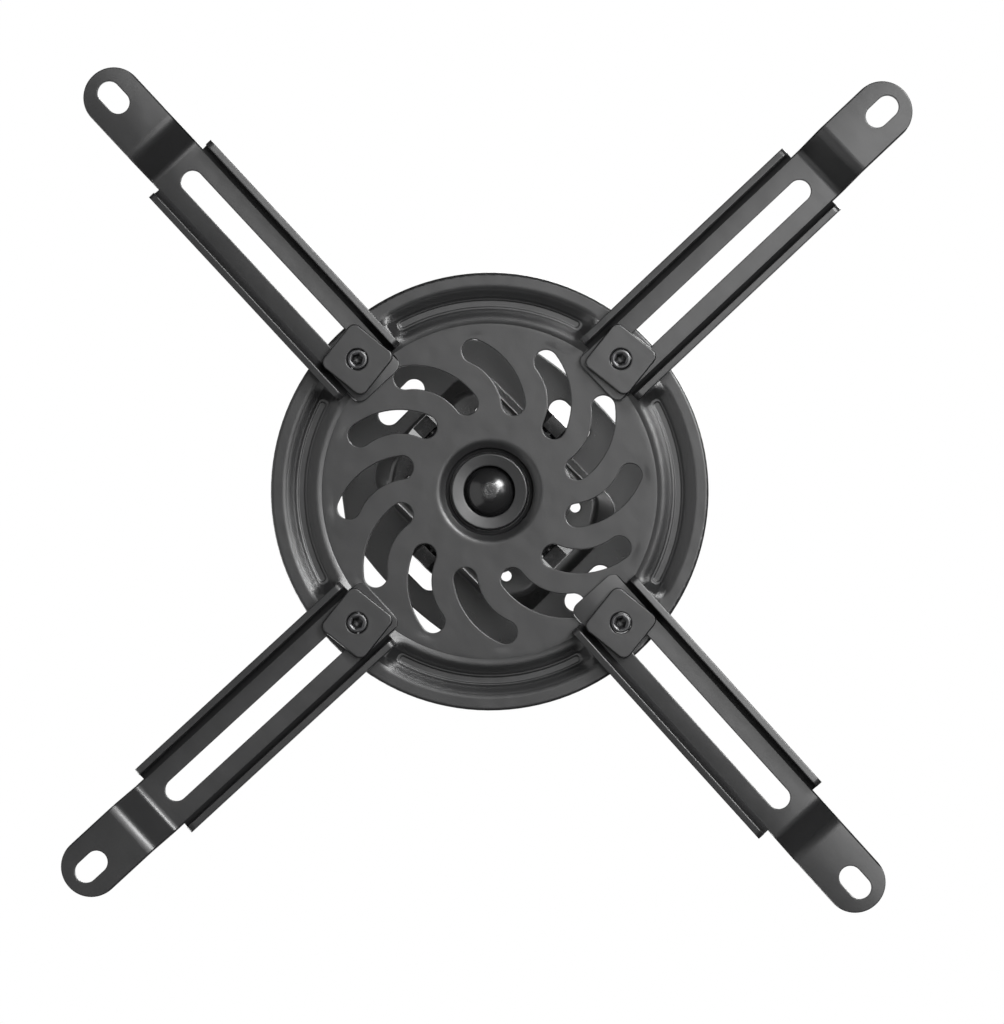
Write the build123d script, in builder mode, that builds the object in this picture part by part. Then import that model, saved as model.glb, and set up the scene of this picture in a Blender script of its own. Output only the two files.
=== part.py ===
from build123d import *
import os
from math import asin, cos, degrees, radians, sin, sqrt

# Projector ceiling mount: a slotted ceiling plate, a ball joint and a pierced dish with four sliding arms.
# Millimetres and degrees. The origin is the middle of the ceiling face, +Z points up into the ceiling,
# and each arm lies near one of the four directions +X, +Y, -X and -Y.

# Driving dimensions: ceiling plate, a pressed sheet with a deep dished middle
plate_t = 2.0
plate_half_x = 42.0
plate_shoulder_x = 39.2
plate_shoulder_y = 24.6
plate_half_y = 50.3
plate_end_bulge = 1.2
plate_end_half = 20.5
plate_corner_r = 6.2
draw_depth = 14.0
plateau_x = 44.6
plateau_y = 57.5
plateau_d = 63.6
wall_run_x = 2.0
wall_run_y = 4.0
wall_run_corner = 5.1
wall_thinning = 0.8
plateau_corner_r = 8.0
press_r = 2.2
side_slot_w = 6.6
side_slot_centres = 8.5
side_slot_x = 32.1
end_slot_w = 6.5
end_slot_centres = 10.7
end_slot_y = 40.1
pilot_d = 3.2
pilot_x = 29.4
pilot_y = 40.6

# Driving dimensions: dish, a pressed sheet with four grooves, twelve swirling slots and a central seat.
# The clamps and the middles of the grooves keep to one circle, and each "half" is half of an angle.
drop = 54.0
clamp_circle_r = 55.2
dish_t = 2.0
dish_rim = 9.8
dish_edge_r = 0.8
groove_offset = 0.8
groove_depth = 3.0
groove_foot_inward = 4.7
groove_foot_outward = 4.6
groove_foot_half = 32.0
groove_foot_corner = 3.0
groove_flat_inward = 1.6
groove_flat_outward = 1.4
groove_flat_half = 29.2
groove_flat_corner = 1.2
groove_bend_r = 3.0
groove_back_r = 1.0
strip_w = 2.0
strip_half = 28.3
strip_depth = 0.6
strip_corner = 0.9
swirl_count = 12
swirl_start = 8.5
swirl_turn = 21.8
swirl_outer_r = 42.0
swirl_inner_r = 27.0
swirl_bend_r = 19.7
swirl_w = 7.0
seat_depth = 1.8
seat_mouth_r = 15.1
seat_floor_r = 12.6
seat_bend_r = 1.2
seat_skin = 0.8

# Driving dimensions: ball joint
ball_r = 10.5
ball_clear = 0.1
liner_t = 0.8
peep_r = 7.65
lip = 0.7
spigot_r = 11.35
spigot_clear = 0.55
spigot_chamfer = 0.35
relief_clear = 0.3
housing_w = 42.0
housing_corner_r = 12.5
housing_split = 4.5
cap_top = 10.0
cap_edge_r = 1.0
neck_polar_margin = 1.6
tilt_max = 15.0
flare = 30.0
stud_d = 10.0
upper_liner_start = 46.0
upper_liner_end = 88.0
lower_liner_start = 108.0
lower_liner_end = 132.0
thread_clear = 0.05

# Driving dimensions: hanger hardware, M10
hanger_nut_af = 16.0
hanger_nut_h = 8.0
hanger_washer_d = 20.0
hanger_washer_t = 1.6
stud_proud = 2.0
hole_clear = 0.3

# Driving dimensions: lock bolts, M6, and the cap screws, M4
lock_d = 6.0
lock_af = 10.0
lock_backed_off = 0.7
lock_head_h = 4.8
lock_tip_clear = 0.2
jam_nut_h = 3.2
cap_screw_d = 4.0
cap_screw_head_d = 7.0
cap_screw_head_h = 4.0
cap_screw_inset = 6.8
cap_screw_socket = 3.0
cap_screw_socket_h = 2.0
cap_screw_length = 14.0

# Driving dimensions: clamps, M6
clamp_w = 16.2
clamp_h = 3.0
clamp_corner_r = 2.4
clamp_edge_r = 0.5
clamp_turn = -6.4
clamp_chamfer = 0.35
screw_d = 6.0
screw_end_chamfer = 0.6
screw_socket_af = 3.0
screw_socket_h = 3.0
screw_proud = 1.5
clamp_nut_af = 10.0
clamp_nut_h = 5.2
clamp_washer_d = 12.0
clamp_washer_t = 1.6

# Driving dimensions: arms, pressed channels that end in a joggled, slotted tab
arm_t = 2.0
arm_reach = 106.3
channel_w = 25.0
flange_h = 8.0
channel_bend_r = 1.5
strap_w = 17.9
web_tail = 9.6
web_tail_corner_r = 3.0
flange_tail = 4.4
flange_length = 82.4
flange_end_r = 2.0
long_slot_w = 6.7
long_slot_in = 0.35
long_slot_out = 73.0
joggle_drop = 9.0
joggle_foot = 81.7
joggle_run = 8.0
joggle_bend_r = 3.8
tab_r = 8.9
tab_flat = 0.03
tab_slot_w = 6.7
tab_slot_length = 10.8
arm_names = ["ne", "se", "sw", "nw"]
arm_turn = [1.7, 2.9, 2.4, 2.1]
arm_inset = [0.3, 3.4, 0.0, 0.7]

# Worked out from the sizes above
wall_inset = wall_thinning * plate_t
dish_low = -drop
dish_top = dish_low + dish_t
plateau_low = -plate_t - draw_depth
plateau_top = plateau_low + plate_t
liner_in = ball_r + ball_clear
liner_out = liner_in + liner_t
socket_r = liner_out + ball_clear
ball_z = dish_low + lip + sqrt(socket_r**2 - peep_r**2)
groove_mid_r = clamp_circle_r + groove_offset
stud_r = stud_d / 2
full_tilt = degrees(asin(sqrt(1 - cos(radians(tilt_max)) ** 4)))
neck_polar = degrees(asin(stud_r / ball_r)) + full_tilt + neck_polar_margin
mouth_r = socket_r * sin(radians(neck_polar))
mouth_h = socket_r * cos(radians(neck_polar))
split_z = ball_z + housing_split
cap_z = ball_z + cap_top
lock_tip = socket_r + lock_tip_clear
lock_head_in = housing_w / 2 + jam_nut_h + lock_backed_off
cap_screw_spacing = housing_w - 2 * cap_screw_inset
arm_low = dish_low - arm_t
clamp_low = arm_low - clamp_h

# How near two lengths must be to count as the same when an edge is picked
close_to = 0.01

os.makedirs("parts", exist_ok=True)


def save(piece, label):
    """Names a finished piece and writes it."""
    piece.part.label = label
    export_step(piece.part, f"parts/{label}.step")


def arc_point(radius, angle):
    """The point at this radius and angle round the vertical axis."""
    return (radius * cos(radians(angle)), radius * sin(radians(angle)))


# Ceiling plate
def plate_outline():
    """The blank: bowed long sides, a shoulder at each corner and narrower bowed ends."""
    with BuildLine() as outline:
        side = ThreePointArc(
            (plate_shoulder_x, -plate_shoulder_y), (plate_half_x, 0), (plate_shoulder_x, plate_shoulder_y)
        )
        end_y = plate_half_y - plate_end_bulge
        upper = Line(side @ 1, (plate_end_half, end_y))
        end = ThreePointArc(upper @ 1, (0, plate_half_y), (-plate_end_half, end_y))
        mirror(side, about=Plane.YZ)
        Line(end @ 1, (-plate_shoulder_x, plate_shoulder_y))
        mirror(end, about=Plane.XZ)
        Line((plate_shoulder_x, -plate_shoulder_y), (plate_end_half, -end_y))
        Line((-plate_shoulder_x, -plate_shoulder_y), (-plate_end_half, -end_y))
    face = make_face(outline.edges())
    fillet(face.vertices(), plate_corner_r)


def plateau_section(grow_x, grow_y, grow_r):
    """A rectangle with its corners cut by a circle, each grown by its own amount, and its bends rounded."""
    Rectangle(plateau_x + 2 * grow_x, plateau_y + 2 * grow_y)
    Circle(plateau_d / 2 + grow_r, mode=Mode.INTERSECT)
    fillet(vertices(), plateau_corner_r)


with BuildPart() as ceiling_plate:
    with BuildSketch(Plane.XY.offset(-plate_t)):
        plate_outline()
    extrude(amount=plate_t)
    with BuildSketch(Plane.XY.offset(plateau_low)):
        plateau_section(0, 0, 0)
    with BuildSketch(Plane.XY.offset(-plate_t)):
        plateau_section(wall_run_x, wall_run_y, wall_run_corner)
    loft(ruled=True)
    bottom_edges = ceiling_plate.faces().sort_by(Axis.Z)[0].edges()
    fillet(bottom_edges, press_r)
    with BuildSketch(Plane.XY.offset(plateau_top)):
        plateau_section(-wall_inset, -wall_inset, -wall_inset)
    with BuildSketch(Plane.XY):
        plateau_section(wall_run_x - wall_inset, wall_run_y - wall_inset, wall_run_corner - wall_inset)
    loft(ruled=True, mode=Mode.SUBTRACT)
    rim_edges = ceiling_plate.faces().sort_by(Axis.Z)[-1].inner_wires()[0].edges()
    fillet(rim_edges, press_r)
    with BuildSketch(Plane.XY.offset(-plate_t)):
        with Locations((side_slot_x, 0), (-side_slot_x, 0)):
            SlotCenterToCenter(side_slot_centres, side_slot_w, rotation=90)
        with Locations((0, end_slot_y), (0, -end_slot_y)):
            SlotCenterToCenter(end_slot_centres, end_slot_w)
    extrude(amount=plate_t, mode=Mode.SUBTRACT)
    with BuildSketch(Plane.XY.offset(plateau_low)):
        Circle(stud_r + hole_clear)
        with GridLocations(pilot_x, pilot_y, 2, 2):
            Circle(pilot_d / 2)
    extrude(amount=plate_t, mode=Mode.SUBTRACT)
save(ceiling_plate, "ceiling_plate")


# Hanger stud: a ball on the lower end of a threaded rod, with a nut and a washer each side of the plate
upper_nut_z = plateau_top + hanger_washer_t
washer_low = plateau_low - hanger_washer_t
lower_nut_z = washer_low - hanger_nut_h
stud_top = upper_nut_z + hanger_nut_h + stud_proud

with BuildPart() as ball_stud:
    with Locations((0, 0, ball_z)):
        Sphere(ball_r)
    with BuildSketch(Plane.XY.offset(ball_z)):
        Circle(stud_r)
    extrude(amount=stud_top - ball_z)
    chamfer(ball_stud.faces().sort_by(Axis.Z)[-1].edges(), screw_end_chamfer)
save(ball_stud, "ball_stud")


def hexagon_block(across_flats, height, plane):
    """Starts a piece with a hexagon that stands on the plane, its corners turned down at both faces."""
    corner_r = across_flats / sqrt(3)
    with BuildSketch(plane) as disc:
        Circle(corner_r)
    extrude(disc.sketch, amount=height)
    chamfer(edges().filter_by(GeomType.CIRCLE), corner_r - across_flats / 2)
    with BuildSketch(plane) as hexagon:
        RegularPolygon(across_flats / 2, 6, major_radius=False)
    extrude(hexagon.sketch, amount=height, mode=Mode.INTERSECT)


def hex_nut(across_flats, height, bore_r, plane):
    """A hexagonal nut that stands on the plane."""
    with BuildPart() as nut:
        hexagon_block(across_flats, height, plane)
        with BuildSketch(plane):
            Circle(bore_r)
        extrude(amount=height, mode=Mode.SUBTRACT)
    return nut


for label, z in [("hanger_nut_upper", upper_nut_z), ("hanger_nut_lower", lower_nut_z)]:
    nut = hex_nut(hanger_nut_af, hanger_nut_h, stud_r + thread_clear, Plane.XY.offset(z))
    save(nut, label)

for label, z in [("hanger_washer_upper", plateau_top), ("hanger_washer_lower", washer_low)]:
    with BuildPart() as washer:
        with BuildSketch(Plane.XY.offset(z)):
            Circle(hanger_washer_d / 2)
            Circle(stud_r + hole_clear, mode=Mode.SUBTRACT)
        extrude(amount=hanger_washer_t)
    save(washer, label)


# Friction liners: two rings of a spherical shell round the ball
def liner_ring(start, end):
    """A zone of the shell between the ball and its socket, between two angles from straight up."""
    with BuildPart() as ring:
        with BuildSketch(Plane.XZ):
            with BuildLine():
                inner = CenterArc((0, ball_z), liner_in, 90 - end, end - start)
                outer = CenterArc((0, ball_z), liner_out, 90 - end, end - start)
                Line(inner @ 0, outer @ 0)
                Line(inner @ 1, outer @ 1)
            make_face()
        revolve(axis=Axis.Z)
    return ring


save(liner_ring(upper_liner_start, upper_liner_end), "upper_liner")
save(liner_ring(lower_liner_start, lower_liner_end), "lower_liner")


# Dish
def ring_sector(inward, outward, half, corner, turn):
    """A sector of a ring, reaching so far in and out from the grooves' middle, with round corners."""
    with BuildLine() as outline:
        outer = CenterArc((0, 0), groove_mid_r + outward, turn - half, 2 * half)
        inner = CenterArc((0, 0), groove_mid_r - inward, turn - half, 2 * half)
        Line(outer @ 0, inner @ 0)
        Line(outer @ 1, inner @ 1)
    face = make_face(outline.edges())
    fillet(face.vertices(), corner)


def groove(turn, low, mode):
    """A raised or sunk trough with sloping sides and a narrow sharp-edged strip along its floor."""
    flat = low + groove_depth
    with BuildSketch(Plane.XY.offset(low)) as foot:
        ring_sector(groove_foot_inward, groove_foot_outward, groove_foot_half, groove_foot_corner, turn)
    with BuildSketch(Plane.XY.offset(flat)) as trough:
        ring_sector(groove_flat_inward, groove_flat_outward, groove_flat_half, groove_flat_corner, turn)
    loft([foot.sketch.face(), trough.sketch.face()], ruled=True, mode=mode)
    with BuildSketch(Plane.XY.offset(flat)) as strip:
        ring_sector(strip_w / 2, strip_w / 2, strip_half, strip_corner, turn)
    extrude(strip.sketch, amount=strip_depth, mode=mode)


def foot_edges(piece, z):
    """The edges where the grooves leave the flat at this height."""
    flat = piece.faces().filter_by(Plane.XY.offset(z)).sort_by(SortBy.AREA)[-1]
    return [edge for wire in flat.inner_wires() for edge in wire.edges()]


def seat_profile(low, skin):
    """Half of the section of the pressed seat, from the axis out."""
    high = low + seat_depth
    with BuildSketch(Plane.XZ) as section:
        with BuildLine():
            Polyline(
                (0, low), (seat_mouth_r + skin, low), (seat_floor_r + skin, high), (0, high), close=True
            )
        make_face()
    return section.sketch


groove_turns = [45, 135, 225, 315]
clamp_angles = [0, 90, 180, 270]

with BuildPart() as dish:
    with BuildSketch(Plane.XY.offset(dish_low)):
        Circle(clamp_circle_r + dish_rim)
    extrude(amount=dish_t)
    fillet(dish.edges().sort_by(Axis.Z)[0], dish_edge_r)
    for turn in groove_turns:
        groove(turn, dish_top, Mode.ADD)
    for turn in groove_turns:
        groove(turn, dish_low, Mode.SUBTRACT)
    fillet(foot_edges(dish, dish_low), groove_bend_r)
    fillet(foot_edges(dish, dish_top), groove_back_r)
    revolve(seat_profile(dish_top, seat_skin), axis=Axis.Z)
    revolve(seat_profile(dish_low, 0), axis=Axis.Z, mode=Mode.SUBTRACT)
    circles = dish.edges().filter_by(GeomType.CIRCLE)
    mouth = circles.filter_by(lambda e: abs(e.radius - seat_mouth_r) < close_to)
    fillet(mouth, seat_bend_r)
    with BuildSketch(Plane.XY.offset(dish_low)):
        Circle(spigot_r + spigot_clear)
        with Locations([arc_point(clamp_circle_r, angle) for angle in clamp_angles]):
            Circle(screw_d / 2 + hole_clear)
        with BuildLine():
            swirl = RadiusArc(
                arc_point(swirl_outer_r, swirl_start),
                arc_point(swirl_inner_r, swirl_start + swirl_turn),
                -swirl_bend_r,
            )
        with PolarLocations(0, swirl_count):
            SlotArc(swirl, swirl_w)
    extrude(amount=dish_t + groove_depth + strip_depth, mode=Mode.SUBTRACT)
save(dish, "dish")


# Ball housing: a block on the dish's back, with a spigot that shows round the ball in the middle of the dish
def radial_plane(angle, radius, z):
    """A plane that faces outwards at this angle, with its own first axis pointing up."""
    x, y = arc_point(1, angle)
    return Plane(origin=(radius * x, radius * y, z), x_dir=(0, 0, 1), z_dir=(x, y, 0))


relief_h = seat_depth + relief_clear

with BuildPart() as ball_housing:
    with BuildSketch(Plane.XY.offset(dish_top)):
        RectangleRounded(housing_w, housing_w, housing_corner_r)
        Circle(seat_mouth_r + seat_skin + relief_clear, mode=Mode.SUBTRACT)
    extrude(amount=relief_h)
    with BuildSketch(Plane.XY.offset(dish_top + relief_h)):
        RectangleRounded(housing_w, housing_w, housing_corner_r)
    extrude(amount=split_z - dish_top - relief_h)
    with BuildSketch(Plane.XY.offset(dish_low)):
        Circle(spigot_r)
    extrude(amount=dish_t + relief_h)
    chamfer(ball_housing.edges().sort_by(Axis.Z)[0], spigot_chamfer)
    with Locations((0, 0, ball_z)):
        Sphere(socket_r, mode=Mode.SUBTRACT)
    with BuildSketch(Plane.XY.offset(ball_z)):
        Circle(socket_r)
    extrude(amount=housing_split, mode=Mode.SUBTRACT)
    with BuildSketch(Plane.XY.offset(dish_low)):
        Circle(peep_r)
    extrude(amount=lip, mode=Mode.SUBTRACT)
    for angle in clamp_angles:
        with BuildSketch(radial_plane(angle, 0, ball_z)):
            Circle(lock_d / 2 + thread_clear)
        extrude(amount=housing_w, mode=Mode.SUBTRACT)
    with BuildSketch(Plane.XY.offset(split_z)):
        with GridLocations(cap_screw_spacing, cap_screw_spacing, 2, 2):
            Circle(cap_screw_d / 2 + thread_clear)
    extrude(amount=-(cap_screw_length - (cap_z - split_z) + hole_clear), mode=Mode.SUBTRACT)
save(ball_housing, "ball_housing")

with BuildPart() as housing_cap:
    with BuildSketch(Plane.XY.offset(split_z)):
        RectangleRounded(housing_w, housing_w, housing_corner_r)
    extrude(amount=cap_z - split_z)
    fillet(housing_cap.faces().sort_by(Axis.Z)[-1].edges(), cap_edge_r)
    with Locations((0, 0, ball_z)):
        Sphere(socket_r, mode=Mode.SUBTRACT)
    with BuildSketch(Plane.XY.offset(ball_z + mouth_h)):
        Circle(mouth_r)
    extrude(amount=cap_top - mouth_h, taper=-flare, mode=Mode.SUBTRACT)
    with BuildSketch(Plane.XY.offset(split_z)):
        with GridLocations(cap_screw_spacing, cap_screw_spacing, 2, 2):
            Circle(cap_screw_d / 2 + hole_clear)
    extrude(amount=cap_z - split_z, mode=Mode.SUBTRACT)
save(housing_cap, "housing_cap")

with BuildPart() as cap_screws:
    with BuildSketch(Plane.XY.offset(cap_z)):
        with GridLocations(cap_screw_spacing, cap_screw_spacing, 2, 2):
            Circle(cap_screw_head_d / 2)
    extrude(amount=cap_screw_head_h)
    with BuildSketch(Plane.XY.offset(cap_z)):
        with GridLocations(cap_screw_spacing, cap_screw_spacing, 2, 2):
            Circle(cap_screw_d / 2)
    extrude(amount=-cap_screw_length)
    with BuildSketch(Plane.XY.offset(cap_z + cap_screw_head_h)):
        with GridLocations(cap_screw_spacing, cap_screw_spacing, 2, 2):
            RegularPolygon(cap_screw_socket / 2, 6, major_radius=False)
    extrude(amount=-cap_screw_socket_h, mode=Mode.SUBTRACT)
save(cap_screws, "cap_screws")

for name, angle in zip(arm_names, clamp_angles):
    with BuildPart() as lock_bolt:
        hexagon_block(lock_af, lock_head_h, radial_plane(angle, lock_head_in, ball_z))
        with BuildSketch(radial_plane(angle, lock_tip, ball_z)):
            Circle(lock_d / 2)
        extrude(amount=lock_head_in - lock_tip)
    save(lock_bolt, f"lock_bolt_{name}")
    housing_side = radial_plane(angle, housing_w / 2, ball_z)
    jam_nut = hex_nut(lock_af, jam_nut_h, lock_d / 2 + thread_clear, housing_side)
    save(jam_nut, f"jam_nut_{name}")


# Clamps: a tapped square plate and a socket screw for each arm, with a washer and a nut on the dish's back
clamp_nut_z = dish_top + clamp_washer_t
screw_top = clamp_nut_z + clamp_nut_h + screw_proud

for name, angle in zip(arm_names, clamp_angles):
    x, y = arc_point(clamp_circle_r, angle)
    plate_plane = Plane(origin=(x, y, clamp_low)).rotated((0, 0, clamp_turn))
    with BuildPart() as clamp_plate:
        with BuildSketch(plate_plane):
            RectangleRounded(clamp_w, clamp_w, clamp_corner_r)
        extrude(amount=clamp_h)
        fillet(clamp_plate.faces().sort_by(Axis.Z)[0].edges(), clamp_edge_r)
        with BuildSketch(plate_plane):
            Circle(screw_d / 2 + thread_clear)
        extrude(amount=clamp_h, mode=Mode.SUBTRACT)
        chamfer(clamp_plate.faces().sort_by(Axis.Z)[0].inner_wires()[0].edges(), clamp_chamfer)
    save(clamp_plate, f"clamp_plate_{name}")

    with BuildPart() as clamp_screw:
        with BuildSketch(plate_plane):
            Circle(screw_d / 2)
        extrude(amount=screw_top - clamp_low)
        chamfer(clamp_screw.edges().filter_by(GeomType.CIRCLE), screw_end_chamfer)
        with BuildSketch(plate_plane):
            RegularPolygon(screw_socket_af / 2, 6, major_radius=False)
        extrude(amount=screw_socket_h, mode=Mode.SUBTRACT)
    save(clamp_screw, f"clamp_screw_{name}")

    with BuildPart() as clamp_washer:
        with BuildSketch(Plane(origin=(x, y, dish_top))):
            Circle(clamp_washer_d / 2)
            Circle(screw_d / 2 + hole_clear, mode=Mode.SUBTRACT)
        extrude(amount=clamp_washer_t)
    save(clamp_washer, f"clamp_washer_{name}")

    clamp_nut = hex_nut(
        clamp_nut_af, clamp_nut_h, screw_d / 2 + thread_clear, Plane(origin=(x, y, clamp_nut_z))
    )
    save(clamp_nut, f"clamp_nut_{name}")


# Arms
def is_flange_corner(edge, sideways):
    """True for the short edges at the free corners of the flanges, which run across the arm."""
    low = abs(edge.center().Z - dish_low + flange_h) < close_to
    return low and edge.length < arm_t + close_to and abs((edge % 0.5).dot(sideways)) > 1 - close_to


def arm(angle, turn, inset):
    """One arm: a folded channel on a joggled strap, with a long slot and a slotted round tab."""
    along = arc_point(1, angle + turn)
    across = arc_point(1, angle + turn + 90)
    screw = arc_point(clamp_circle_r, angle)
    origin = Vector(screw[0] - inset * along[0], screw[1] - inset * along[1], dish_low)
    ahead = Vector(along[0], along[1], 0)
    sideways = Vector(across[0], across[1], 0)
    side_view = Plane(origin=origin, x_dir=ahead, z_dir=sideways * -1)
    end_view = Plane(origin=origin - ahead * flange_tail, x_dir=sideways, z_dir=ahead)
    plan = Plane(origin=origin, x_dir=ahead, z_dir=(0, 0, 1))
    mid = -arm_t / 2
    with BuildPart() as piece:
        with BuildSketch(side_view):
            with BuildLine():
                FilletPolyline(
                    (-web_tail, mid),
                    (joggle_foot, mid),
                    (joggle_foot + joggle_run, mid - joggle_drop),
                    (arm_reach + tab_r, mid - joggle_drop),
                    radius=joggle_bend_r,
                )
            trace(line_width=arm_t)
        extrude(amount=strap_w / 2, both=True)
        upright = piece.edges().filter_by(Axis.Z).sort_by(lambda e: e.center().dot(ahead))
        fillet(upright[:2], web_tail_corner_r)
        fillet(upright[-2:], tab_r - tab_flat)
        with BuildSketch(end_view):
            half = (channel_w - arm_t) / 2
            with BuildLine():
                FilletPolyline(
                    (-half, -flange_h),
                    (-half, mid),
                    (half, mid),
                    (half, -flange_h),
                    radius=channel_bend_r + arm_t / 2,
                )
            trace(line_width=arm_t)
        extrude(amount=flange_length)
        lowest = piece.edges().filter_by(lambda e: is_flange_corner(e, sideways))
        fillet(lowest, flange_end_r)
        with BuildSketch(plan):
            with Locations(((long_slot_out - long_slot_in) / 2, 0)):
                SlotCenterToCenter(long_slot_out + long_slot_in, long_slot_w)
            with Locations((arm_reach, 0)):
                SlotOverall(tab_slot_length, tab_slot_w)
        extrude(amount=-(arm_t + joggle_drop), mode=Mode.SUBTRACT)
    return piece


for name, angle, turn, inset in zip(arm_names, clamp_angles, arm_turn, arm_inset):
    save(arm(angle, turn, inset), f"arm_{name}")
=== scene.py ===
import math

import bpy
import numpy as np
from mathutils import Matrix, Vector


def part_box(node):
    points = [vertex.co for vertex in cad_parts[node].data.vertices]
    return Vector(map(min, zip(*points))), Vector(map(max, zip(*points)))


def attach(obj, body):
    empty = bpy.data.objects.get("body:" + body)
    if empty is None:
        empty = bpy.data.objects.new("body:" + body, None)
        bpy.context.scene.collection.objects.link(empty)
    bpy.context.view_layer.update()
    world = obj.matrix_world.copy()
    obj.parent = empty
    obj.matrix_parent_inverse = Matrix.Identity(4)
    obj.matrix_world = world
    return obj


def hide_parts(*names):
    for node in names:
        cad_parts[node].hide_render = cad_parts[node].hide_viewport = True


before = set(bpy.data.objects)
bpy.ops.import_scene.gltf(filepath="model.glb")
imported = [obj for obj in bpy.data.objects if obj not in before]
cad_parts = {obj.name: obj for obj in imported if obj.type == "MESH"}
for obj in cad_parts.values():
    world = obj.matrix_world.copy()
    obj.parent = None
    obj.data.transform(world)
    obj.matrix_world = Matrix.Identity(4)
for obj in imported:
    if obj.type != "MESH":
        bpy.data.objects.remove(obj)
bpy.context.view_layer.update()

# Looks of a projector ceiling mount: black powder coat on pressed steel, a glossy ball stud and black screws.
# Metres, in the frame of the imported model: +Z points up into the ceiling.
mm = 0.001
ballLow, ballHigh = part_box("ball_stud")
ballRadius = (ballHigh.x - ballLow.x) / 2
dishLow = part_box("dish")[0]


class Signal:
    # wraps one output socket, so that an expression on it adds the Math nodes that work it out
    def __init__(self, tree, socket):
        self.tree = tree
        self.socket = socket

    def make(self, kind, settings=None, inputs=None, output=0):
        # adds any node: its type, its settings first, then a value or a link for each of its sockets
        node = self.tree.nodes.new("ShaderNode" + kind)
        for name, value in (settings or {}).items():
            setattr(node, name, value)
        for key, value in (inputs or {}).items():
            if isinstance(value, Signal):
                self.tree.links.new(value.socket, node.inputs[key])
            else:
                node.inputs[key].default_value = value
        return Signal(self.tree, node.outputs[output])

    def math(self, operation, *others, clamp=False):
        values = dict(enumerate((self,) + others))
        return self.make("Math", {"operation": operation, "use_clamp": clamp}, values)

    def __add__(self, other):
        return self.math("ADD", other)

    __radd__ = __add__

    def __mul__(self, other):
        return self.math("MULTIPLY", other)

    __rmul__ = __mul__

    def __sub__(self, other):
        return self.math("SUBTRACT", other)

    def __rsub__(self, other):
        return self.make("Math", {"operation": "SUBTRACT"}, {0: other, 1: self})

    def clamped(self):
        return self.math("ADD", 0.0, clamp=True)

    def eased(self, low, high):
        # 0 up to low, 1 from high on, and a smooth step between them
        return self.make(
            "MapRange", {"interpolation_type": "SMOOTHSTEP"}, {"Value": self, "From Min": low, "From Max": high}
        )

    def blendColours(self, first, second):
        # first where the signal is 0, second where it is 1
        return self.make("Mix", {"data_type": "RGBA"}, {0: self, 6: first, 7: second}, output=2)


def startMaterial(name):
    # a new material: its node tree, its output's surface socket and a signal of Object coordinates
    material = bpy.data.materials.new(name)
    material.use_nodes = True
    tree = material.node_tree
    tree.nodes.clear()
    surface = tree.nodes.new("ShaderNodeOutputMaterial").inputs["Surface"]
    place = tree.nodes.new("ShaderNodeTexCoord").outputs["Object"]
    return material, surface, Signal(tree, place)


def noise(place, size, detail=3.0, roughness=0.5):
    # a noise whose lumps are about size across, in metres
    return place.make(
        "TexNoise", None, {"Vector": place, "Scale": 1.0 / size, "Detail": detail, "Roughness": roughness}
    )


def scaled(place, colour, factor):
    # a colour times a signal
    return place.make("VectorMath", {"operation": "SCALE"}, {0: colour, "Scale": factor})


def dress(material, surface, place, inputs):
    # gives the material a Principled shader with these inputs
    shader = place.make("BsdfPrincipled", None, inputs)
    shader.tree.links.new(shader.socket, surface)
    return material


def bumps(place, height, normal=None):
    # a surface pushed out by a height in metres
    inputs = {"Strength": 1.0, "Distance": 1.0, "Height": height}
    return place.make("Bump", None, inputs | ({"Normal": normal} if normal else {}))


def ramp(distance, low, high, slope):
    # a height that climbs with the slope from low to high and is level outside them
    return (distance - low).math("MAXIMUM", 0.0).math("MINIMUM", high - low) * slope


armChoices = {
    "turns": {"ne": 1.7, "se": 92.9, "sw": 182.4, "nw": 272.1},
    "softEdge": 0.55 * mm,
    "crown": 5.5,
    "bendFrom": 8.5 * mm,
    "bendTo": 10.4 * mm,
    "bendSlope": 1.0,
    "roomFrom": -0.05,
    "roomTo": -0.15,
}


def webHeight(place, angle, screw):
    # An arm's web bulges a little: its height falls with the square of the distance from its centre line.
    # The inner bend beside each flange is steeper than the solid's arc, on the side that faces the room.
    a = armChoices
    turned = place.make(
        "Mapping",
        {"vector_type": "TEXTURE"},
        {"Vector": place, "Location": (screw[0], screw[1], 0), "Rotation": (0, 0, angle)},
    )
    aside = turned.make("SeparateXYZ", None, {0: turned}, output=1)
    facing = place.make("TexCoord", output=1)
    toRoom = facing.make("SeparateXYZ", None, {0: facing}, output=2).eased(a["roomFrom"], a["roomTo"])
    bend = ramp(aside.math("ABSOLUTE"), a["bendFrom"], a["bendTo"], a["bendSlope"])
    return aside * aside * -a["crown"] + bend * toRoom


def axisReach(place):
    # how far a point is from the mount's axis
    level = place.make("VectorMath", {"operation": "MULTIPLY"}, {0: place, 1: (1, 1, 0)})
    return level.make("VectorMath", {"operation": "LENGTH"}, {0: level}, output=1)


coatChoices = {
    "peelSize": 0.9 * mm,
    "peelHeight": 0.007 * mm,
    "grainSize": 0.22 * mm,
    "grainHeight": 0.0045 * mm,
    "patchSize": 16 * mm,
    "patchSpan": 0.16,
    "waveSize": 9 * mm,
    "waveHeight": 0.15 * mm,
    "speckSpan": 0.22,
    "roughnessSpan": 0.10,
    "bevelSamples": 10,
}


def softenedNormal(place, softEdge, bends):
    # the normal rounded over softEdge, and over a bend of its own in each ring where the sheet is pressed
    samples = {"samples": coatChoices["bevelSamples"]}
    normal = place.make("Bevel", samples, {"Radius": softEdge})
    reach = axisReach(place) if bends else None
    for bend in bends:
        wide = place.make("Bevel", samples, {"Radius": bend["radius"]})
        ring = reach.eased(*bend["from"]) * (1.0 - reach.eased(*bend["to"]))
        normal = ring.make("Mix", {"data_type": "VECTOR"}, {0: ring, 4: normal, 5: wide}, output=1)
    return normal


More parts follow.
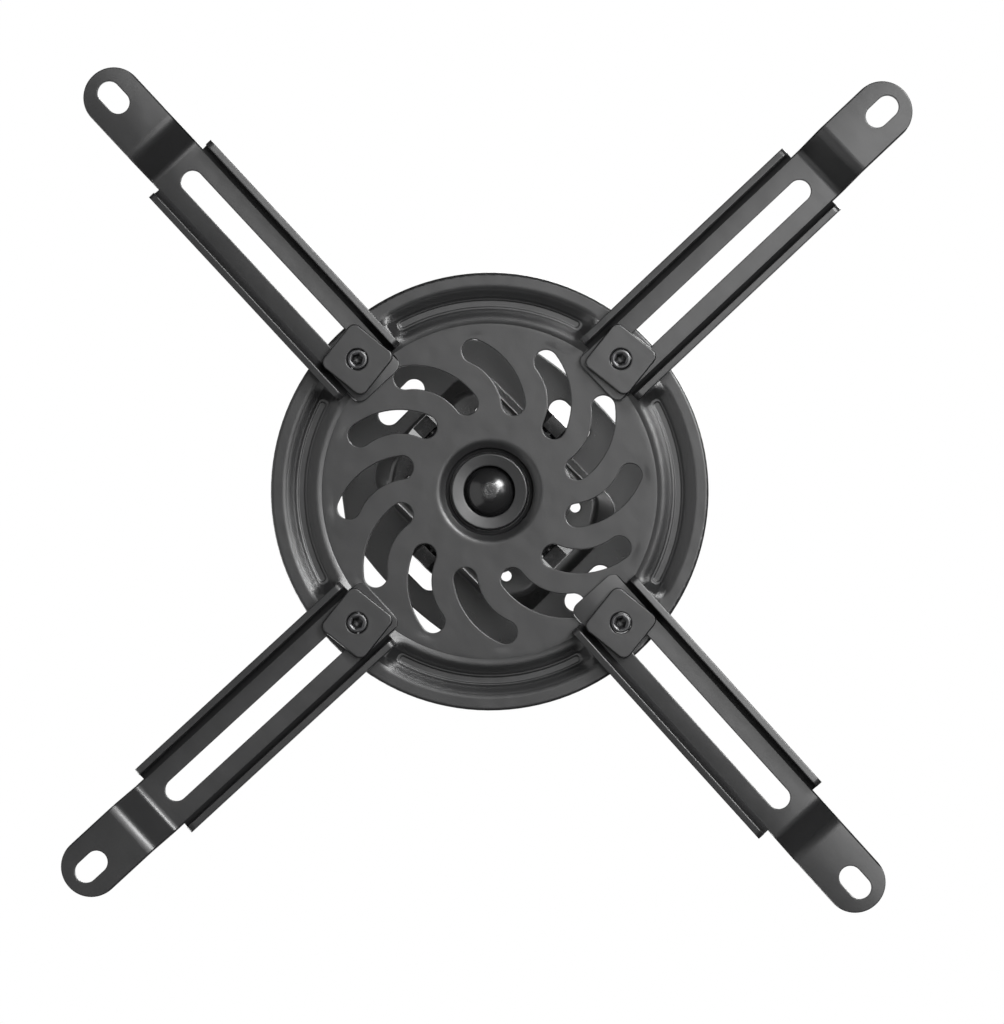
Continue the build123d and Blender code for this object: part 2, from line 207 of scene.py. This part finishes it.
def powderCoat(name, colour, roughness, softEdge, web=None, bends=(), ramps=(), ior=1.5, relief=1.0):
    # satin powder coat: orange peel, a fine grain, faint waves and patches, and soft edges on the solid's sharp ones
    c = coatChoices
    material, surface, place = startMaterial(name)
    peel = noise(place, c["peelSize"], detail=2.0)
    grain = noise(place, c["grainSize"], detail=1.0)
    patches = noise(place, c["patchSize"], detail=4.0, roughness=0.6)
    specks = noise(place, 2 * c["grainSize"], detail=2.0, roughness=0.7)
    shade = 1.0 + (patches - 0.5) * (2 * c["patchSpan"]) + (specks - 0.5) * (2 * c["speckSpan"])
    rough = roughness + (patches - 0.5) * c["roughnessSpan"] + (specks - 0.5) * c["roughnessSpan"]
    waves = noise(place, c["waveSize"], detail=1.5)
    height = (peel * c["peelHeight"] + grain * c["grainHeight"] + waves * c["waveHeight"]) * relief
    if web is not None:
        height = height + webHeight(place, *web)
    reach = axisReach(place) if ramps else None
    for low, high, slope in ramps:
        height = height + ramp(reach, low, high, slope)
    inputs = {
        "Base Color": scaled(place, colour, shade),
        "Roughness": rough,
        "Normal": bumps(place, height, softenedNormal(place, softEdge, bends)),
        "IOR": ior,
    }
    return dress(material, surface, place, inputs)


glossChoices = {
    "scarRadius": 3.2 * mm,
    "scarFull": 0.4,
    "scarGone": 1.2,
    "scarSize": 0.8 * mm,
    "scarHeight": 0.45 * mm,
    "scarShade": 1.4,
    "scarRoughness": 0.12,
    "waveSize": 5 * mm,
    "waveHeight": 0.02 * mm,
    "waveRoughness": 0.06,
    "fineSize": 0.2 * mm,
    "fineHeight": 0.0008 * mm,
}


def glossLacquer(name, colour, roughness):
    # gloss black over a turned ball, with a rough patch at its lowest point where it was held
    g = glossChoices
    material, surface, place = startMaterial(name)
    centred = place.make("Mapping", None, {"Vector": place, "Location": Vector((0, 0, -ballLow.z))})
    reach = place.make("VectorMath", {"operation": "LENGTH"}, {0: centred}, output=1)
    scar = 1.0 - reach.eased(g["scarFull"] * g["scarRadius"], g["scarGone"] * g["scarRadius"])
    lumps = noise(place, g["scarSize"], detail=4.0, roughness=0.6)
    waves = noise(place, g["waveSize"], detail=2.0)
    fine = noise(place, g["fineSize"], detail=2.0)
    height = scar * lumps * g["scarHeight"] + waves * g["waveHeight"] + fine * g["fineHeight"]
    base = (lumps * scar).blendColours((*colour, 1), (*[g["scarShade"] * v for v in colour], 1))
    inputs = {
        "Base Color": base,
        "Roughness": roughness + scar * g["scarRoughness"] + (waves - 0.5) * g["waveRoughness"],
        "Normal": bumps(place, height),
        "IOR": 1.5,
    }
    return dress(material, surface, place, inputs)


oxideChoices = {
    "smearSize": 1.8 * mm,
    "smearFrom": 0.5,
    "smearTo": 0.75,
    "smearRoughness": 0.2,
    "fineSize": 0.14 * mm,
    "fineHeight": 0.004 * mm,
    "rubbedColour": 4.0,
    "rubbedMetal": 0.35,
}


def blackOxide(name, colour, roughness, metal=0.25, ior=1.6):
    # oiled black steel: dark, a little metallic, with smears that are rubbed brighter
    o = oxideChoices
    material, surface, place = startMaterial(name)
    smears = noise(place, o["smearSize"], detail=4.0, roughness=0.6)
    fine = noise(place, o["fineSize"], detail=2.0)
    rubbed = smears.eased(o["smearFrom"], o["smearTo"])
    bright = tuple(o["rubbedColour"] * v for v in colour)
    inputs = {
        "Base Color": rubbed.blendColours((*colour, 1), (*bright, 1)),
        "Roughness": roughness + (smears - 0.5) * o["smearRoughness"],
        "Metallic": metal + rubbed * o["rubbedMetal"],
        "Normal": bumps(place, fine * o["fineHeight"]),
        "IOR": ior,
    }
    return dress(material, surface, place, inputs)


nylonChoices = {
    "flowSize": 2.5 * mm,
    "flowShades": (0.7, 1.4),
    "flowRoughness": 0.1,
    "fineSize": 0.2 * mm,
    "fineHeight": 0.004 * mm,
}


def mouldedNylon(name, colour, roughness):
    # black moulded nylon: a soft sheen and a faint grain
    n = nylonChoices
    material, surface, place = startMaterial(name)
    flow = noise(place, n["flowSize"], detail=3.0)
    fine = noise(place, n["fineSize"], detail=2.0)
    dark, pale = [(*[shade * v for v in colour], 1) for shade in n["flowShades"]]
    inputs = {
        "Base Color": flow.blendColours(dark, pale),
        "Roughness": roughness + (flow - 0.5) * n["flowRoughness"],
        "Normal": bumps(place, fine * n["fineHeight"]),
    }
    return dress(material, surface, place, inputs)


black = (0.011, 0.011, 0.0113)
coatRoughness = 0.35

# Rings round the axis: a bend's own radius between the distances where it sets in and fades out, and ramps of
# bump height as from, to and slope. They give the dish's grooves, its seat and the spigot's end softer slopes.
dishChoices = {
    "softEdge": 0.55 * mm,
    "bends": [
        {"radius": 4.2 * mm, "from": (46.0 * mm, 48.5 * mm), "to": (53.4 * mm, 54.2 * mm)},
        {"radius": 3.6 * mm, "from": (57.4 * mm, 58.2 * mm), "to": (60.8 * mm, 62.0 * mm)},
        {"radius": 1.6 * mm, "from": (12.6 * mm, 13.2 * mm), "to": (17.0 * mm, 18.5 * mm)},
        {"radius": 0.0, "from": (10.0 * mm, 11.0 * mm), "to": (12.7 * mm, 13.0 * mm)},
    ],
    "ramps": [(49.8 * mm, 54.2 * mm, 0.42), (58.1 * mm, 60.2 * mm, -0.30), (11.3 * mm, 13.1 * mm, 0.9)],
}
housingChoices = {"softEdge": 0.5 * mm, "ramps": [(7.7 * mm, 11.3 * mm, 0.16)]}
clampSoftEdge = 0.3 * mm
plateSoftEdge = 0.8 * mm
finishes = {
    "plate_coat": powderCoat("plateCoat", (0.020, 0.020, 0.0204), 0.30, plateSoftEdge, ior=1.7, relief=0.3),
    "dish_coat": powderCoat(
        "dishCoat", black, coatRoughness, dishChoices["softEdge"], None, dishChoices["bends"], dishChoices["ramps"]
    ),
    "clamp_coat": powderCoat("clampCoat", black, coatRoughness, clampSoftEdge),
    "housing_coat": powderCoat(
        "housingCoat", black, coatRoughness, housingChoices["softEdge"], ramps=housingChoices["ramps"]
    ),
    "ball_gloss": glossLacquer("ballGloss", (0.006, 0.006, 0.0062), 0.21),
    "screw_black": blackOxide("screwBlack", (0.016, 0.016, 0.017), 0.32),
    "bolt_black": blackOxide("boltBlack", (0.005, 0.005, 0.0052), 0.20, metal=0.04, ior=1.34),
    "nylon": mouldedNylon("blackNylon", (0.012, 0.012, 0.0125), 0.42),
}
for name, angle in armChoices["turns"].items():
    low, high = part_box("clamp_screw_" + name)
    screw = (low + high) / 2
    finishes["arm_coat_" + name] = powderCoat(
        "armCoat_" + name, black, coatRoughness, armChoices["softEdge"], (math.radians(angle), screw)
    )
print("materials made:", len(finishes))


def finishOf(node):
    # the finish that a CAD node wears
    if node in ("ball_housing", "housing_cap"):
        return "housing_coat"
    if node.endswith("_liner"):
        return "nylon"
    if node.startswith("arm_"):
        return "arm_coat_" + node[-2:]
    starts = {"ceiling": "plate_coat", "dish": "dish_coat", "clamp_plate": "clamp_coat", "lock_bolt": "bolt_black"}
    return next((finish for start, finish in starts.items() if node.startswith(start)), "screw_black")


for node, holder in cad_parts.items():
    holder.data.materials.clear()
    holder.data.materials.append(finishes[finishOf(node)])
print("CAD nodes finished:", len(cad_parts))


def triangleWave(turns):
    # 0 at whole turns and 1 half way between them
    return 1 - np.abs(2 * (turns % 1) - 1)


def turnedSurface(profile, origin, axis, side, around, thread):
    # The point at step k and angle a is origin + z(k) along the axis + r(k, a) outwards. r is the profile's radius,
    # divided on hexagonal steps by the cosine of the angle from the nearest flat's middle, less the thread's depth
    # times a triangle wave of (z / pitch - a / turn) wherever the radius is more than the thread's root. The wave
    # fades in and out over one pitch at the thread's ends.
    steps = np.array(profile, float)
    r, z, six = steps[:, 0:1], steps[:, 1:2], steps[:, 2:3]
    angle = np.linspace(0, 2 * np.pi, around, endpoint=False)[None, :]
    flat = (angle + np.pi / 6) % (np.pi / 3) - np.pi / 6
    radius = r * (1 + six * (1 / np.cos(flat) - 1))
    inside = np.clip(np.minimum(z - thread["from"], thread["to"] - z) / thread["pitch"], 0, 1)
    wave = triangleWave(z / thread["pitch"] - angle / (2 * np.pi))
    radius = radius - inside * thread["depth"] * wave * (r > thread["root"])
    axis, side = np.array(axis, float), np.array(side, float)
    other = np.cross(axis, side)
    rings = (
        np.array(origin, float)[None, None, :]
        + z[:, :, None] * axis
        + (radius * np.cos(angle))[:, :, None] * side
        + (radius * np.sin(angle))[:, :, None] * other
    )
    points = np.vstack([rings[0, :1], rings[1:-1].reshape(-1, 3), rings[-1, :1]])
    count = len(steps) - 2
    k, a = np.meshgrid(np.arange(count - 1), np.arange(around), indexing="ij")
    corner = 1 + k * around + a
    beside = 1 + k * around + (a + 1) % around
    quads = np.stack([corner, beside, beside + around, corner + around], axis=-1).reshape(-1, 4)
    ring = np.arange(around)
    after = (ring + 1) % around
    first = np.stack([np.zeros(around, int), 1 + after, 1 + ring], axis=-1)
    end = 1 + (count - 1) * around
    final = np.stack([np.full(around, len(points) - 1), end + ring, end + after], axis=-1)
    return points, quads.tolist() + first.tolist() + final.tolist()


def addObject(name, data):
    # a new object in the scene
    thing = bpy.data.objects.new(name, data)
    bpy.context.scene.collection.objects.link(thing)
    return thing


def makeMesh(name, surface, slotName, sharp, finish=None):
    # a piece from its points and faces, smooth but for edges sharper than the angle, in its slot's finish or another
    points, faces = surface
    mesh = bpy.data.meshes.new(name)
    mesh.from_pydata(points.tolist(), [], faces)
    mesh.shade_smooth()
    mesh.set_sharp_from_angle(angle=math.radians(sharp))
    mesh.materials.append(finishes[finish or slotName])
    piece = addObject(name, mesh)
    return piece


def run(start, end, count):
    # profile steps from start up to, but not including, end
    t = np.linspace(0, 1, count, endpoint=False)[:, None]
    return (np.array(start, float) * (1 - t) + np.array(end, float) * t).tolist()


# Ball stud: a sphere with a small sawn-off nub at its lowest point, then a threaded rod
studChoices = {
    "rodRadius": 4.95 * mm,
    "pitch": 1.5 * mm,
    "depth": 0.8 * mm,
    "chamfer": 0.6 * mm,
    "rowsPerTurn": 8,
    "around": 128,
    "sphereRows": 110,
    "plainNeck": 6 * mm,
    "nubRadius": 2.3 * mm,
    "nubFlat": 0.16 * mm,
    "rootInset": 0.5,
    "sharp": 50,
}


def makeBallStud():
    # sphere: radius R sin(t) at height R - R cos(t); within the nub's radius the height is at least its flat
    c = studChoices
    neck = math.asin(c["rodRadius"] / ballRadius)
    t = np.linspace(0, math.pi - neck, c["sphereRows"])
    radius = ballRadius * np.sin(t)
    height = ballRadius - ballRadius * np.cos(t)
    nub = (radius < c["nubRadius"]) & (t < 1)
    height = np.where(nub, np.maximum(height, c["nubFlat"]), height)
    sphere = np.stack([radius, height, 0 * t], axis=1)
    neckTop = sphere[-1][1]
    rodTop = ballHigh.z - ballLow.z
    rowCount = int((rodTop - c["chamfer"] - neckTop) / c["pitch"] * c["rowsPerTurn"])
    rod = run((c["rodRadius"], neckTop, 0), (c["rodRadius"], rodTop - c["chamfer"], 0), rowCount)
    end = [
        (c["rodRadius"], rodTop - c["chamfer"], 0),
        (c["rodRadius"] - c["chamfer"], rodTop, 0),
        (0, rodTop, 0),
    ]
    thread = {
        "from": neckTop + c["plainNeck"],
        "to": rodTop,
        "pitch": c["pitch"],
        "depth": c["depth"],
        "root": c["rodRadius"] - c["rootInset"] * c["chamfer"],
    }
    surface = turnedSurface(
        sphere.tolist() + rod[1:] + end, (0, 0, ballLow.z), (0, 0, 1), (1, 0, 0), c["around"], thread
    )
    piece = makeMesh("ballStudThreaded", surface, "ball_gloss", c["sharp"])
    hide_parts("ball_stud")
    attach(piece, "hanger")


makeBallStud()
print("ball stud made")


# Clamp screws: a threaded screw with a hexagonal socket that faces the room
clampScrewChoices = {
    "radius": 2.95 * mm,
    "chamfer": 0.55 * mm,
    "pitch": 1.0 * mm,
    "depth": 0.5 * mm,
    "socketFlat": 1.5 * mm,
    "socketDeep": 4.5 * mm,
    "lipDrop": 0.25 * mm,
    "lipRise": 0.12 * mm,
    "lipRound": 0.1 * mm,
    "ease": 0.03 * mm,
    "floorEase": 0.02 * mm,
    "drillPoint": 0.5,
    "floorShare": 0.98,
    "lipShare": 0.2,
    "chamferStep": 0.3,
    "threadStart": 1.2,
    "rootInset": 0.1,
    "rowsPerTurn": 8,
    "around": 72,
    "sharp": 40,
}


def makeClampScrews():
    # profile from the socket's floor: down the hexagon's walls, over the rounded lip, then up the thread
    c = clampScrewChoices
    for name in armChoices["turns"]:
        low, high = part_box("clamp_screw_" + name)
        middle = (low + high) / 2
        top = high.z - low.z
        # the lip runs half way between the socket's corners and the chamfer
        lip = (c["socketFlat"] / math.cos(math.pi / 6) + c["radius"] - c["chamfer"]) / 2
        profile = [
            (0, c["socketDeep"] + c["drillPoint"] * c["socketFlat"], 0),
            (c["socketFlat"] * c["floorShare"], c["socketDeep"], 1),
            (c["socketFlat"], c["socketDeep"] - c["floorEase"], 1),
            (c["socketFlat"], c["lipDrop"] + c["lipRise"], 1),
            (c["socketFlat"] + c["lipRound"], c["lipDrop"] + c["ease"], 1),
            (lip, c["lipDrop"] * c["lipShare"], 0),
            (c["radius"] - c["chamfer"], c["ease"], 0),
            (c["radius"] - c["chamferStep"] * c["chamfer"], c["chamferStep"] * c["chamfer"], 0),
        ]
        rowCount = int((top - 2 * c["chamfer"]) / c["pitch"] * c["rowsPerTurn"])
        profile += run((c["radius"], c["chamfer"], 0), (c["radius"], top - c["chamfer"], 0), rowCount)
        profile += [
            (c["radius"], top - c["chamfer"], 0),
            (c["radius"] - c["chamfer"], top, 0),
            (0, top, 0),
        ]
        thread = {
            "from": c["threadStart"] * c["chamfer"],
            "to": top,
            "pitch": c["pitch"],
            "depth": c["depth"],
            "root": c["radius"] - c["rootInset"] * c["chamfer"],
        }
        surface = turnedSurface(profile, (middle.x, middle.y, low.z), (0, 0, 1), (1, 0, 0), c["around"], thread)
        piece = makeMesh("clampScrewThreaded_" + name, surface, "screw_black", c["sharp"])
        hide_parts("clamp_screw_" + name)
        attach(piece, "clamp_" + name)


makeClampScrews()
print("clamp screws made")


# Lock bolts: a hexagonal head with turned-down corners and a threaded shank that points at the ball
lockBoltChoices = {
    "radius": 2.95 * mm,
    "headFlat": 5.0 * mm,
    "headHeight": 4.8 * mm,
    "headChamfer": 0.45 * mm,
    "chamfer": 0.5 * mm,
    "pitch": 1.0 * mm,
    "depth": 0.5 * mm,
    "plain": 0.8 * mm,
    "ease": 0.02 * mm,
    "endRise": 0.05 * mm,
    "cornerNear": 0.5,
    "cornerFar": 1.2,
    "threadStart": 0.8,
    "rootInset": 0.1,
    "rowsPerTurn": 8,
    "around": 72,
    "sharp": 40,
}


def makeLockBolts():
    # profile from the tip outwards: chamfer, thread, flat under the head, the hexagon and its domed end
    c = lockBoltChoices
    directions = {"ne": (1, 0, 0), "se": (0, 1, 0), "sw": (-1, 0, 0), "nw": (0, -1, 0)}
    for name, axis in directions.items():
        low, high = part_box("lock_bolt_" + name)
        middle = (low + high) / 2
        span = (high - low)[0 if axis[0] else 1]
        outward = Vector(axis)
        origin = middle - outward * (span / 2)
        shank = span - c["headHeight"]
        rowCount = int((shank - c["chamfer"]) / c["pitch"] * c["rowsPerTurn"])
        profile = [(0, 0, 0), (c["radius"] - c["chamfer"], 0, 0)]
        profile += run((c["radius"], c["chamfer"], 0), (c["radius"], shank, 0), rowCount)
        profile += [
            (c["radius"], shank, 0),
            (c["headFlat"] - c["headChamfer"], shank, 0),
            (c["headFlat"] - c["ease"], shank + c["cornerNear"] * c["headChamfer"], 1),
            (c["headFlat"], shank + c["cornerFar"] * c["headChamfer"], 1),
            (c["headFlat"], span - c["cornerFar"] * c["headChamfer"], 1),
            (c["headFlat"] - c["ease"], span - c["cornerNear"] * c["headChamfer"], 1),
            (c["headFlat"] - c["headChamfer"], span - c["endRise"], 0),
            (c["headFlat"] - 2 * c["headChamfer"], span, 0),
            (0, span, 0),
        ]
        thread = {
            "from": c["threadStart"] * c["chamfer"],
            "to": shank - c["plain"],
            "pitch": c["pitch"],
            "depth": c["depth"],
            "root": c["radius"] - c["rootInset"] * c["chamfer"],
        }
        surface = turnedSurface(profile, origin, axis, (0, 0, 1), c["around"], thread)
        piece = makeMesh("lockBoltThreaded_" + name, surface, "screw_black", c["sharp"], "bolt_black")
        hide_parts("lock_bolt_" + name)
        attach(piece, "spider")


makeLockBolts()
print("lock bolts made")


stageChoices = {
    "photoWidth": 1004,
    "photoHeight": 1024,
    "mmPerPixel": 0.2966,
    "axisPixel": (489.4, 491.4),
    "cameraDistance": 2.0,
    "cameraOffset": (0.0283, -0.0185),
    "sensor": 36.0,
    "floorBelow": 4.6,
    "floorHalf": 14.0,
    "floorWhite": 0.92,
    "floorGrey": 0.8,
    "dimWorld": 0.06,
    "whiteFrom": 0.60,
    "whiteTo": 0.90,
}
right = Vector((1, 1, 0)).normalized()
up = Vector((1, -1, 0)).normalized()
away = Vector((0, 0, 1))


def addCamera():
    # the camera hangs below the dish and looks up, turned so that the arms lie along the picture's diagonals
    s = stageChoices
    scale = s["mmPerPixel"] * mm
    across = (s["photoWidth"] / 2 - s["axisPixel"][0]) * scale
    down = (s["photoHeight"] / 2 - s["axisPixel"][1]) * scale
    target = Vector((0, 0, dishLow.z)) + right * across - up * down
    back = (right * s["cameraOffset"][0] + up * s["cameraOffset"][1] - away).normalized()
    data = bpy.data.cameras.new("camera")
    data.sensor_width = s["sensor"]
    data.lens = s["sensor"] * s["cameraDistance"] / (s["photoHeight"] * scale)
    data.dof.use_dof = False
    data.clip_end = 50
    camera = addObject("camera", data)
    camera.location = target + back * s["cameraDistance"]
    sideways = up.cross(back).normalized()
    camera.rotation_mode = "QUATERNION"
    camera.rotation_quaternion = Matrix((sideways, back.cross(sideways), back)).transposed().to_quaternion()
    bpy.context.scene.camera = camera


# A lamp's direction from the dish, its distance, its two sides and its power
lampChoices = {
    "keyLamp": {"toward": -away + right * 0.65 + up * 0.55, "distance": 1.2, "size": (0.40, 0.40), "power": 18},
    "panelLamp": {"toward": -away + right * 0.40 + up * 0.24, "distance": 1.1, "size": (0.85, 0.85), "power": 10},
    "frontLamp": {"toward": -away, "distance": 2.4, "size": (1.3, 1.3), "power": 1.1},
    "leftLamp": {"toward": -away * 0.5 - right - up * 0.15, "distance": 1.7, "size": (2.4, 2.4), "power": 17},
    "topLamp": {"toward": away + right * 0.5 + up * 0.6, "distance": 1.8, "size": (1.4, 1.4), "power": 70},
    "backLamp": {"toward": away * 0.7 - right * 0.8 - up * 0.4, "distance": 1.8, "size": (1.4, 1.4), "power": 40},
}


def addLamps():
    # soft rectangular lamps that face the mount and that the camera doesn't see
    for name, choice in lampChoices.items():
        data = bpy.data.lights.new(name, "AREA")
        data.shape = "RECTANGLE"
        data.size, data.size_y = choice["size"]
        data.energy = choice["power"]
        lamp = addObject(name, data)
        toward = choice["toward"].normalized()
        lamp.location = Vector((0, 0, dishLow.z)) + toward * choice["distance"]
        lamp.rotation_mode = "QUATERNION"
        lamp.rotation_quaternion = toward.to_track_quat("Z", "Y")
        lamp.visible_camera = False


def addFloor():
    # a plain pale floor far below the mount, white where the camera sees it
    half, level = stageChoices["floorHalf"], -stageChoices["floorBelow"]
    corners = [(-half, -half, level), (half, -half, level), (half, half, level), (-half, half, level)]
    mesh = bpy.data.meshes.new("floor")
    mesh.from_pydata(corners, [], [(0, 1, 2, 3)])
    material, surface, place = startMaterial("paleFloor")
    seen = place.make("LightPath")
    matt = place.make("BsdfDiffuse", None, {"Color": (*[stageChoices["floorGrey"]] * 3, 1)})
    white = place.make("Emission", None, {"Color": (1, 1, 1, 1), "Strength": 1.0})
    shown = place.make("MixShader", None, {0: seen * stageChoices["floorWhite"], 1: matt, 2: white})
    shown.tree.links.new(shown.socket, surface)
    mesh.materials.append(material)
    addObject("floor", mesh)


def addWorld():
    # white where the camera looks and where a gloss shows what is right above; dim grey elsewhere
    s = stageChoices
    world = bpy.data.worlds.new("world")
    bpy.context.scene.world = world
    world.use_nodes = True
    tree = world.node_tree
    tree.nodes.clear()
    out = tree.nodes.new("ShaderNodeOutputWorld")
    path = tree.nodes.new("ShaderNodeLightPath")
    seen = Signal(tree, path.outputs["Is Camera Ray"]) + Signal(tree, path.outputs["Is Transmission Ray"])
    ray = seen.make("TexCoord", output=0)
    split = seen.make("SeparateXYZ", None, {0: ray}, output=2)
    behind = split.eased(s["whiteFrom"], s["whiteTo"]) * Signal(tree, path.outputs["Is Glossy Ray"])
    white = (seen + behind).clamped()
    strength = s["dimWorld"] + white * (1.0 - s["dimWorld"])
    shade = seen.make("Background", None, {"Color": (1, 1, 1, 1), "Strength": strength})
    tree.links.new(shade.socket, out.inputs["Surface"])


addCamera()
addLamps()
addFloor()
addWorld()
bpy.context.scene.view_settings.view_transform = "Standard"
print("stage made")
